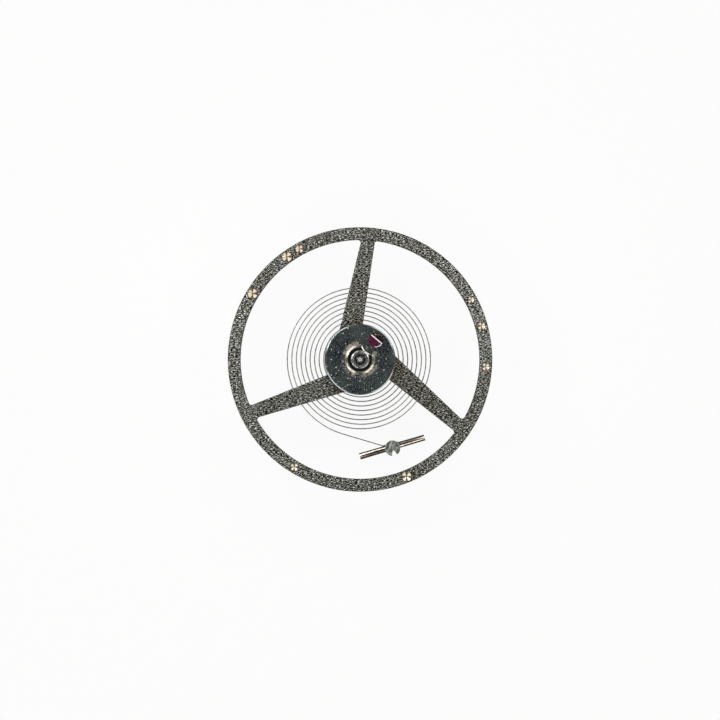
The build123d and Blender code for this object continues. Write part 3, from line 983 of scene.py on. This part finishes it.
def staff():
    """The whole axle, from the lower tip to the upper one."""
    bm = bmesh.new()
    tip = bm.verts.new((0, 0, staff_low.z))
    tip = line_to(bm, tip, (PIVOT_RADIUS - PIVOT_ROUNDING, 0, staff_low.z))
    tip = line_to(bm, tip, (PIVOT_RADIUS, 0, staff_low.z + PIVOT_ROUNDING))
    root = staff_low.z + PIVOT_LENGTH
    tip = line_to(bm, tip, (PIVOT_RADIUS, 0, root))
    radius, angle = trumpet(seat_bottom, root, COLLET_CONE)
    tip = arc_about(bm, tip, (PIVOT_RADIUS + radius, 0, root), ACROSS, angle, STAFF_ARC_STEPS)
    corners = []
    for corner_radius, level in [
        (COLLET_SEAT - POST_BEVEL, seat_bottom), (COLLET_SEAT, seat_bottom + POST_BEVEL),
        (COLLET_SEAT, rivet_bottom), (RIVET_RADIUS - RIVET_BEVEL, rivet_bottom),
        (RIVET_RADIUS, arm_bottom), (WHEEL_SEAT, arm_bottom), (WHEEL_SEAT, arm_top),
        (FLANGE_RADIUS, arm_top), (FLANGE_RADIUS, table_low.z), (POST_RADIUS, table_low.z),
        (POST_RADIUS, shoulder),
    ]:
        tip = line_to(bm, tip, (corner_radius, 0, level))
        corners.append(tip)
    crown = (POST_RADIUS - ROLLER_CONE) / 2 / math.sin(CROWN_SLOPE)
    middle = ((POST_RADIUS + ROLLER_CONE) / 2, 0, small_high.z - crown)
    tip = arc_about(bm, tip, middle, ACROSS, -2 * CROWN_SLOPE, STAFF_ARC_STEPS)
    root = staff_high.z - PIVOT_LENGTH
    radius, angle = trumpet(shoulder, root, ROLLER_CONE)
    tip = arc_about(bm, tip, (PIVOT_RADIUS + radius, 0, root), ACROSS, angle, STAFF_ARC_STEPS)
    tip = line_to(bm, tip, (PIVOT_RADIUS, 0, staff_high.z - PIVOT_ROUNDING))
    tip = line_to(bm, tip, (PIVOT_RADIUS - PIVOT_ROUNDING, 0, staff_high.z))
    line_to(bm, tip, (0, 0, staff_high.z))
    bevel(bm, corners[:-1], STAFF_ROUNDING, 3, "VERTICES")
    return turn_on_lathe(bm, STAFF_STEPS)


settle("staff", staff(), staff_finish, "balance_staff")

# %% [markdown]
# ## The two rollers and the jewel
#
# The table roller is a polished disc with a wide bevel. The impulse jewel stands in a round hole
# near its edge. The small roller in front of it has a crescent cut out of its rim, right in
# front of the jewel, for the safety finger to pass. Its upper edge is broken with a cone, which
# leaves the thin bright line that a watchmaker's lens finds there.

# %% Rollers
JEWEL_CIRCLE, JEWEL_RADIUS, JEWEL_FLAT, JEWEL_STEPS = 0.944, 0.267, 0.063, 96
JEWEL_BEVEL, FLAT_BEVEL, JEWEL_CLEARANCE = 0.028, 0.042, 0.008
GROUND_ANGLES, RESIN_GAP = (-84, -72, -60, -48, -36), 0.003
TABLE_BEVEL, TABLE_STEPS = 0.045, 224
NECK_RADIUS, NECK_LENGTH, SMALL_BEVEL, SMALL_STEPS = 0.4, 0.2, 0.085, 160
CRESCENT_BEVEL, LOW_SLOPE = 0.035, 0.53
ROLLER_CLEARANCE = 0.002
ROLLER_BORE = POST_RADIUS + ROLLER_CLEARANCE
jewel_axis = heading(JEWEL_ANGLE) * JEWEL_CIRCLE


def table_roller():
    """The polished table with the jewel's hole."""
    disc = turned([
        (ROLLER_BORE, table_low.z), (table_radius, table_low.z),
        (table_radius, table_high.z - TABLE_BEVEL * LOW_SLOPE),
        (table_radius - TABLE_BEVEL, table_high.z),
        (ROLLER_BORE, table_high.z),
    ], TABLE_STEPS)
    hole = bar(jewel_axis + Vector((0, 0, table_low.z)), UP, JEWEL_RADIUS + JEWEL_CLEARANCE,
               DRILL_LENGTH / 2, steps=JEWEL_STEPS)
    return combine(disc, hole, "DIFFERENCE")


def small_roller():
    """The safety roller on its neck, with the passing crescent and its broken edge."""
    neck_top = small_low.z + NECK_LENGTH
    roller = turned([
        (ROLLER_BORE, small_low.z), (NECK_RADIUS, small_low.z), (NECK_RADIUS, neck_top),
        (small_radius - SMALL_BEVEL, neck_top), (small_radius, neck_top + SMALL_BEVEL),
        (small_radius, small_high.z - SMALL_BEVEL * LOW_SLOPE),
        (small_radius - SMALL_BEVEL, small_high.z),
        (ROLLER_BORE, small_high.z),
    ], SMALL_STEPS)
    middle = crescent_middle + Vector((0, 0, small_high.z))
    crescent = bar(middle, UP, CRESCENT_RADIUS, DRILL_LENGTH, steps=SMALL_STEPS)
    roller = combine(roller, crescent, "DIFFERENCE")
    broken = bar(middle, UP, CRESCENT_RADIUS - CRESCENT_BEVEL, 4 * CRESCENT_BEVEL * LOW_SLOPE,
                 CRESCENT_RADIUS + 3 * CRESCENT_BEVEL, steps=SMALL_STEPS)
    return combine(roller, broken, "DIFFERENCE")


settle("roller_table", table_roller(), table_finish, "impulse_roller")
settle("small_roller", small_roller(), small_finish, "safety_roller")

# %% [markdown]
# The jewel is a round pin with a flat ground on the side away from the staff. One plane cuts the
# flat, a slanting one cuts the bevel along its upper edge, and a few more, each turned a little on,
# cut a bevel on one side of the free end, as it is rolled over a lap. These narrow ground faces are
# painted near white, as a highlight. The shellac fills what is left of the hole beside the flat and
# sits as a cap under the table, where the jewel was pushed in.

# %% Jewel and shellac
def cut_at(bm, place, normal, keep_outer=False):
    """Cuts a piece off at a plane and closes the cut."""
    cut = bmesh.ops.bisect_plane(bm, geom=bm.verts[:] + bm.edges[:] + bm.faces[:],
                                 plane_co=place, plane_no=normal,
                                 clear_outer=not keep_outer, clear_inner=keep_outer)
    bmesh.ops.contextual_create(bm, geom=only(bmesh.types.BMEdge, cut["geom_cut"]))
    bmesh.ops.recalc_face_normals(bm, faces=bm.faces)
    return bm


def jewel():
    """The D-shaped ruby pin, its free end ground along the flat and on one side."""
    middle = jewel_axis + Vector((0, 0, (jewel_low.z + jewel_high.z) / 2))
    pin = bar(middle, UP, JEWEL_RADIUS, jewel_high.z - jewel_low.z, steps=JEWEL_STEPS)
    for angle in GROUND_ANGLES:
        edge = jewel_axis + heading(angle) * (JEWEL_RADIUS - JEWEL_BEVEL)
        edge.z = jewel_high.z
        pin = cut_at(pin, edge, heading(angle, 1.0))
    flat = heading(JEWEL_ANGLE) * (JEWEL_CIRCLE + JEWEL_FLAT)
    pin = cut_at(pin, flat, heading(JEWEL_ANGLE))
    flat.z = jewel_high.z - FLAT_BEVEL
    return cut_at(pin, flat, heading(JEWEL_ANGLE, 1.0))


def resin():
    """Shellac beside the jewel's flat, and its cap under the table."""
    top = cement_high.z
    middle = jewel_axis + Vector((0, 0, (table_low.z + top) / 2))
    fill = bar(middle, UP, JEWEL_RADIUS + JEWEL_CLEARANCE, top - table_low.z, steps=JEWEL_STEPS)
    flat = heading(JEWEL_ANGLE) * (JEWEL_CIRCLE + JEWEL_FLAT + RESIN_GAP)
    fill = cut_at(fill, flat, heading(JEWEL_ANGLE), keep_outer=True)
    cap_height = table_low.z - cement_low.z
    cap_middle = jewel_axis + Vector((0, 0, (cement_low.z + table_low.z) / 2))
    cap = bar(cap_middle, UP, (cement_high.x - cement_low.x) / 2, cap_height, steps=JEWEL_STEPS)
    bottom = [e for e in cap.edges
              if all(abs(v.co.z - cement_low.z) < TOUCHING for v in e.verts)]
    bevel(cap, bottom, cap_height / 2, 4)
    return combine(fill, cap, "UNION")


settle("impulse_pin", jewel(), ruby_finish, "impulse_jewel")
settle("shellac_fill", resin(), shellac_finish, "jewel_cement")

# %% [markdown]
# ## The collet and the stud
#
# Both ends of the hairspring are pinned: the inner one in the collet, the outer one in the stud.
# In both, the strip lies beside the pin in a round hole that is just wide enough for the two.

# %% Shared sizes of the two cross holes
STRIP_THICKNESS, STRIP_HEIGHT = 0.04, spring_high.z - spring_low.z
PINNING_CLEARANCE = 0.003
COLLET_PIN_RADIUS, STUD_PIN_RADIUS = 0.07, 0.12


def hole_radius(pin):
    """Smallest round hole that takes a round pin with the strip on edge beside it."""
    across = 2 * pin + STRIP_THICKNESS
    return (across**2 + (STRIP_HEIGHT / 2) ** 2) / (2 * across) + PINNING_CLEARANCE


def pin_offset(pin):
    """How far the pin's axis lies from the axis of the hole, away from the strip."""
    return pin - hole_radius(pin) + PINNING_CLEARANCE / 2


def strip_offset(pin):
    """How far the middle of the strip lies from the axis of the hole."""
    return pin_offset(pin) + pin + STRIP_THICKNESS / 2 + PINNING_CLEARANCE / 2


print("hole radii:", [round(hole_radius(pin), 4) for pin in (COLLET_PIN_RADIUS, STUD_PIN_RADIUS)])

# %% [markdown]
# The collet is a split brass ring, sprung onto the staff. It is turned, bored across beside the
# staff and slit on one side. Its pin is a short piece of wire that stays inside the ring.

# %% Collet and its pin
COLLET_BORE, COLLET_INNER_WALL, COLLET_OUTER_WALL = 0.367, 0.033, 0.064
COLLET_BEVEL, COLLET_SLIT, COLLET_PIN_INSET, COLLET_STEPS = 0.04, 0.1, 0.1, 128
WIRE_STEPS, COLLET_PIN_ROUNDING, STUD_PIN_ROUNDING = 72, 0.012, 0.008
INNER_BEND = 70.0
collet_hole = hole_radius(COLLET_PIN_RADIUS)
collet_offset = COLLET_BORE + COLLET_INNER_WALL + collet_hole
collet_radius = collet_offset + collet_hole + COLLET_OUTER_WALL
collet_way = heading(270 - INNER_BEND)
collet_side = heading(180 - INNER_BEND)
in_plane = Vector((0, 0, spring_level))


def collet_ring():
    """Split ring with the cross hole."""
    ring = turned([
        (COLLET_BORE, collet_low.z), (collet_radius - COLLET_BEVEL, collet_low.z),
        (collet_radius, collet_low.z + COLLET_BEVEL), (collet_radius, collet_high.z - COLLET_BEVEL),
        (collet_radius - COLLET_BEVEL, collet_high.z), (COLLET_BORE, collet_high.z),
    ], COLLET_STEPS)
    hole = bar(collet_side * collet_offset + in_plane, collet_way, collet_hole, 2 * collet_radius)
    ring = combine(ring, hole, "DIFFERENCE")
    reach = 2 * (collet_radius - COLLET_BORE / 2)
    slit = bmesh.new()
    bmesh.ops.create_cube(slit, size=1.0)
    bmesh.ops.scale(slit, vec=(reach, COLLET_SLIT, DRILL_LENGTH / 2), verts=slit.verts)
    set_down(slit, heading(-INNER_BEND) * collet_radius + in_plane, -INNER_BEND)
    return combine(ring, slit, "DIFFERENCE")


def wire_pin(middle, way, radius, length, end_radius, rounding):
    """A piece of drawn wire with its two ends stoned."""
    pin = bar(middle, way, radius, length, end_radius, steps=WIRE_STEPS)
    bevel(pin, corner_edges(pin), rounding, 2)
    return pin


def collet_wedge():
    """The pin that wedges the strip in the collet."""
    middle = collet_side * (collet_offset + pin_offset(COLLET_PIN_RADIUS))
    half = math.sqrt(collet_radius**2 - middle.length_squared) - COLLET_PIN_INSET
    return wire_pin(middle + in_plane, collet_way, COLLET_PIN_RADIUS, 2 * half, COLLET_PIN_RADIUS,
                    COLLET_PIN_ROUNDING)


settle("collet_ring", collet_ring(), collet_finish, "collet")
settle("collet_wedge", collet_wedge(), pin_finish, "collet_pin")

# %% [markdown]
# The stud is a round post with a small bevel, bored across beside its own axis. A notch runs down
# its outer side, by which it can be gripped, and a wedge with its narrow side inwards cuts that.
# Its pin is the long taper pin of the photo, as it is before it is cut to length.

# %% Stud and its pin
STUD_BEVEL, STUD_SIDE_WALL, STUD_STEPS = 0.03, 0.057, 128
NOTCH_WALL, NOTCH_FLOOR, NOTCH_MOUTH, NOTCH_OVERRUN = 0.017, 0.05, 0.22, 0.1
PIN_LENGTH, PIN_TAPER = 2.56, 0.005
STUD_ANGLE, STUD_TO_RIM = -69.85, 0.645
stud_radius = (stud_high.x - stud_low.x) / 2
stud_circle = rim_inner - STUD_TO_RIM - stud_radius
stud_centre = heading(STUD_ANGLE) * stud_circle
stud_hole = hole_radius(STUD_PIN_RADIUS)
stud_offset = stud_radius - stud_hole - STUD_SIDE_WALL
stud_way, stud_side = heading(PIN_ANGLE), heading(PIN_ANGLE + 90)
stud_hole_middle = stud_centre + stud_side * stud_offset


def notch_cutter():
    """Wedge that opens outwards and runs down the whole stud."""
    floor_half, floor_line = NOTCH_FLOOR / 2, stud_offset - stud_hole - NOTCH_WALL
    flare = (NOTCH_MOUTH / 2 - floor_half) / (stud_radius + floor_line)
    mouth_half, mouth_line = NOTCH_MOUTH / 2 + flare * NOTCH_OVERRUN, -stud_radius - NOTCH_OVERRUN
    bm = bmesh.new()
    closed_outline(bm, [(x, y, stud_low.z - NOTCH_OVERRUN) for x, y in (
        (-floor_half, floor_line), (-mouth_half, mouth_line),
        (mouth_half, mouth_line), (floor_half, floor_line),
    )])
    make_plate(bm, stud_high.z - stud_low.z + 2 * NOTCH_OVERRUN)
    return set_down(bm, stud_centre, PIN_ANGLE)


def stud_post():
    """The round stud, bored across and notched."""
    level = Vector((0, 0, (stud_low.z + stud_high.z) / 2))
    post = bar(stud_centre + level, UP, stud_radius, stud_high.z - stud_low.z, steps=STUD_STEPS)
    bevel(post, corner_edges(post), STUD_BEVEL, 1)
    hole = bar(stud_hole_middle + in_plane, stud_way, stud_hole, 4 * stud_radius)
    post = combine(post, hole, "DIFFERENCE")
    return combine(post, notch_cutter(), "DIFFERENCE")


def stud_wedge():
    """The long taper pin through the stud."""
    middle = stud_hole_middle + stud_side * pin_offset(STUD_PIN_RADIUS) + in_plane
    return wire_pin(middle, stud_way, STUD_PIN_RADIUS + PIN_TAPER, PIN_LENGTH,
                    STUD_PIN_RADIUS - PIN_TAPER, STUD_PIN_ROUNDING)


settle("stud_post", stud_post(), stud_finish, "stud")
settle("stud_wedge", stud_wedge(), pin_finish, "stud_pin")

# %% [markdown]
# ## The hairspring
#
# The hairspring is a strip 0.04 mm thick and 0.15 mm high, wound into eleven even coils. A
# curve with a bevel could draw it, but the strip should follow the same route as its solid: half
# turns about two centres, a quarter of the pitch to either side of the staff. So the strip's
# section is carried along the route by the spin operator, step by step, and an attribute keeps
# how much of the strip has been laid at each step.

# %% The spring's route
SPRING_TURNS = 11
INNER_GAP, COIL_TO_STUD = 0.178, 0.826
INNER_TAIL, OUTER_TAIL_INSET = 0.12, 0.04
OUTER_HEADING, OUTER_BEND, OUTER_MOUTH = -16.5, 0.1, 0.04

coil_outer = stud_circle - COIL_TO_STUD
coil_inner = collet_radius + INNER_GAP
pitch = (coil_outer - coil_inner) / SPRING_TURNS


def left_of(angle):
    """The way to the left of a heading."""
    return heading(angle + 90)


def spring_route():
    """Start, first heading, and the moves: a length for a run, a centre and a turn for an arc."""
    line_distance = collet_offset + strip_offset(COLLET_PIN_RADIUS)
    cosine = math.cos(math.radians(INNER_BEND))
    inner_radius = (line_distance - coil_inner * cosine) / (1 - cosine)
    bend = inner_radius * math.tan(math.radians(INNER_BEND / 2))
    coil_start = Vector((-coil_inner, 0, 0))
    bend_start = coil_start + Vector((0, bend, 0)) - collet_way * bend
    start = collet_side * line_distance - collet_way * INNER_TAIL
    moves = [
        ("run", (bend_start - start).length, 0),
        ("arc", bend_start + left_of(270 - INNER_BEND) * inner_radius, INNER_BEND),
    ]
    for _ in range(SPRING_TURNS):
        moves += [("arc", Vector((pitch / 4, 0, 0)), 180), ("arc", Vector((-pitch / 4, 0, 0)), 180)]
    run_way = heading(OUTER_HEADING)
    strip_middle = stud_hole_middle + stud_side * strip_offset(STUD_PIN_RADIUS)
    mouth = strip_middle - stud_way * (stud_radius + OUTER_MOUTH)
    corner = mouth - run_way * ((mouth.x + coil_outer) / run_way.x)
    off_turn = 90 + OUTER_HEADING
    off_radius = abs(corner.y) / math.tan(math.radians(off_turn / 2))
    mouth_turn = PIN_ANGLE - OUTER_HEADING
    mouth_tangent = OUTER_BEND * math.tan(math.radians(mouth_turn / 2))
    mouth_start = mouth - run_way * mouth_tangent
    last = (strip_middle + stud_way * (stud_radius - OUTER_TAIL_INSET) - mouth).length
    moves += [
        ("arc", Vector((off_radius - coil_outer, 0, 0)), off_turn),
        ("run", (mouth_start - corner).length - abs(corner.y), 0),
        ("arc", mouth_start + left_of(OUTER_HEADING) * OUTER_BEND, mouth_turn),
        ("run", last - mouth_tangent, 0),
    ]
    return start, 270 - INNER_BEND, moves


route_start, route_heading, route_moves = spring_route()
print("pitch", round(pitch, 4), "mm, moves", len(route_moves))

# %% [markdown]
# The section starts as a small rectangle with its corners rounded, because rolling leaves the
# strip's edges round. Arcs take a step every three degrees, and the length that has been laid is
# written on the points of every step, for the next cell.

# %% Lay the strip
STEP_DEGREES = 3.0
RUN_STEPS = 6
EDGE_ROUNDING = 0.008


def section(bm):
    """The strip's rounded section at the inner end, square to the first heading."""
    across, along = left_of(route_heading), Vector(UP)
    half, tall = STRIP_THICKNESS / 2, STRIP_HEIGHT / 2
    corners = closed_outline(bm, [route_start + in_plane + across * half * s + along * tall * t
                                  for s, t in ((1, 1), (-1, 1), (-1, -1), (1, -1))])
    bevel(bm, corners, EDGE_ROUNDING, 2, "VERTICES")
    return bm.verts[:] + bm.edges[:]


def lay_strip():
    """The whole strip, with the laid length written on its vertices."""
    bm = bmesh.new()
    layer = bm.verts.layers.float.new("laid")
    ring = section(bm)
    first = only(bmesh.types.BMEdge, ring)
    point, angle, laid = route_start.copy(), route_heading, 0.0
    for kind, what, turn in route_moves:
        done = len(bm.verts)
        if kind == "arc":
            moved = bmesh.ops.spin(bm, geom=ring, cent=what, axis=UP, angle=math.radians(turn),
                                   steps=max(2, round(turn / STEP_DEGREES)))
        else:
            moved = bmesh.ops.spin(bm, geom=ring, cent=(0, 0, 0), axis=UP, angle=0.0,
                                   dvec=heading(angle) * what / RUN_STEPS, steps=RUN_STEPS)
        ring = moved["geom_last"]
        bm.verts.ensure_lookup_table()
        for v in bm.verts[done:]:
            if kind == "arc":
                arm, start = (v.co - what).xy, (point - what).xy
                swept = math.atan2(start.cross(arm), start.dot(arm)) % math.tau
                v[layer] = laid + swept * start.length
            else:
                v[layer] = laid + (v.co - point).dot(heading(angle))
        if kind == "arc":
            laid += math.radians(turn) * (point - what).length
            point = what + Matrix.Rotation(math.radians(turn), 3, "Z") @ (point - what)
        else:
            laid += what
            point = point + heading(angle) * what
        angle += turn
    bmesh.ops.contextual_create(bm, geom=first)
    bmesh.ops.contextual_create(bm, geom=only(bmesh.types.BMEdge, ring))
    bmesh.ops.recalc_face_normals(bm, faces=bm.faces)
    return bm, laid


strip, strip_length = lay_strip()
spring_piece = settle("spring_strip", strip, spring_finish, "hairspring")
print("strip length", round(strip_length, 3), "mm")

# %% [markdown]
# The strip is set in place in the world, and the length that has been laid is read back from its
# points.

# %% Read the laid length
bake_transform(spring_piece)
laid_values = [0.0] * len(spring_piece.data.vertices)
spring_piece.data.attributes["laid"].data.foreach_get("value", laid_values)
